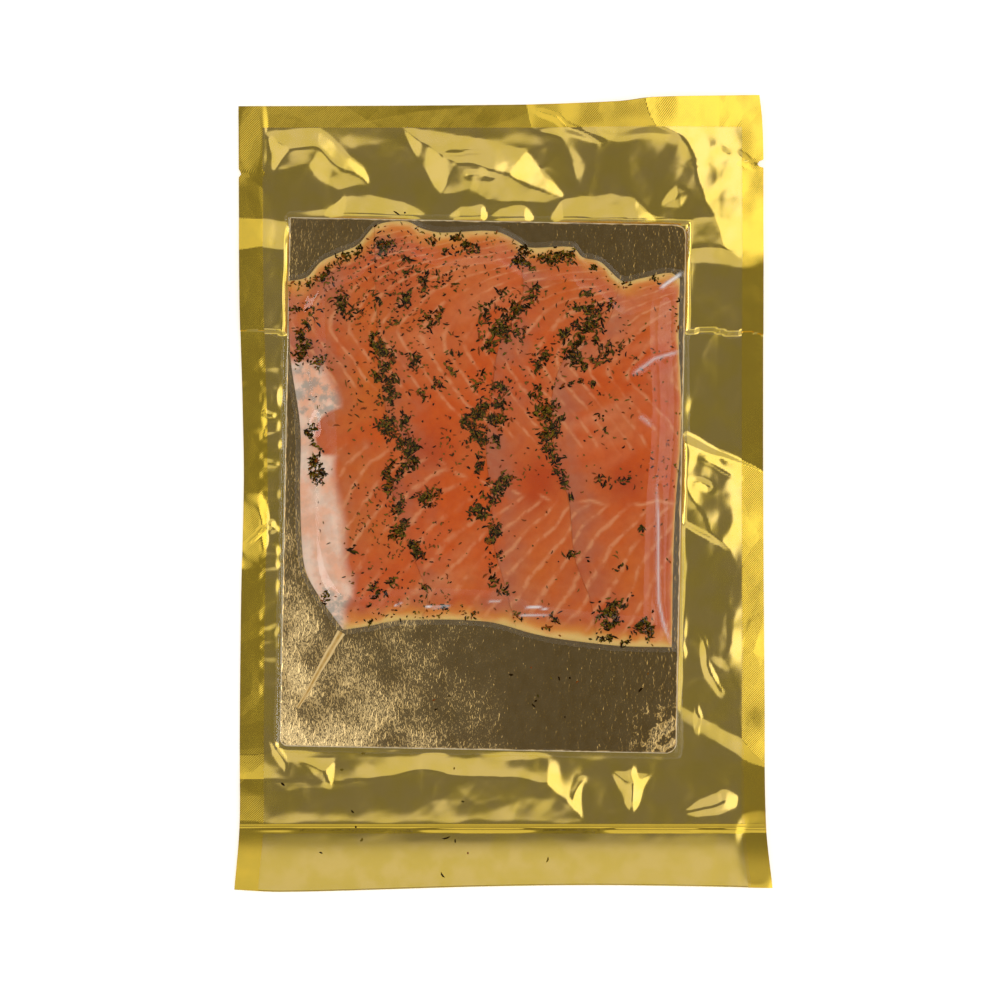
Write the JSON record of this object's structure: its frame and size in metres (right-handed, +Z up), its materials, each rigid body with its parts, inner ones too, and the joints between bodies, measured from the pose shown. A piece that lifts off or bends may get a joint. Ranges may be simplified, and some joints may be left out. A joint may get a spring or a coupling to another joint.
{
  "type": "vacuum pack of sliced gravlax",
  "caption": "Flat vacuum pouch with a gold foil back and a clear front film over shingled slices of dill-cured salmon on a foil-faced board.",
  "frame": {"origin": "middle of the footprint, on the surface the pack lies on", "axes": "+X across the pack, to the right with the clear side seen and the sealed end up; +Y along the pack towards the sealed top end; +Z up, out of the clear side"},
  "size_m": [0.1999, 0.296, 0.0084],
  "materials": {
    "gold_foil": "glossy gold metallised film",
    "clear_film": "clear glossy film",
    "board_foil": "satin bronze foil on board",
    "salmon": "moist cured fish",
    "strand_fish": "moist cured fish"
  },
  "bodies": {
    "root": {"pouch_back": "gold_foil", "front_film": "clear_film", "board": "board_foil", "slice_1": "salmon", "slice_2": "salmon", "slice_3": "salmon", "slice_4": "salmon", "strand": "strand_fish"}
  },
  "joints": []
}
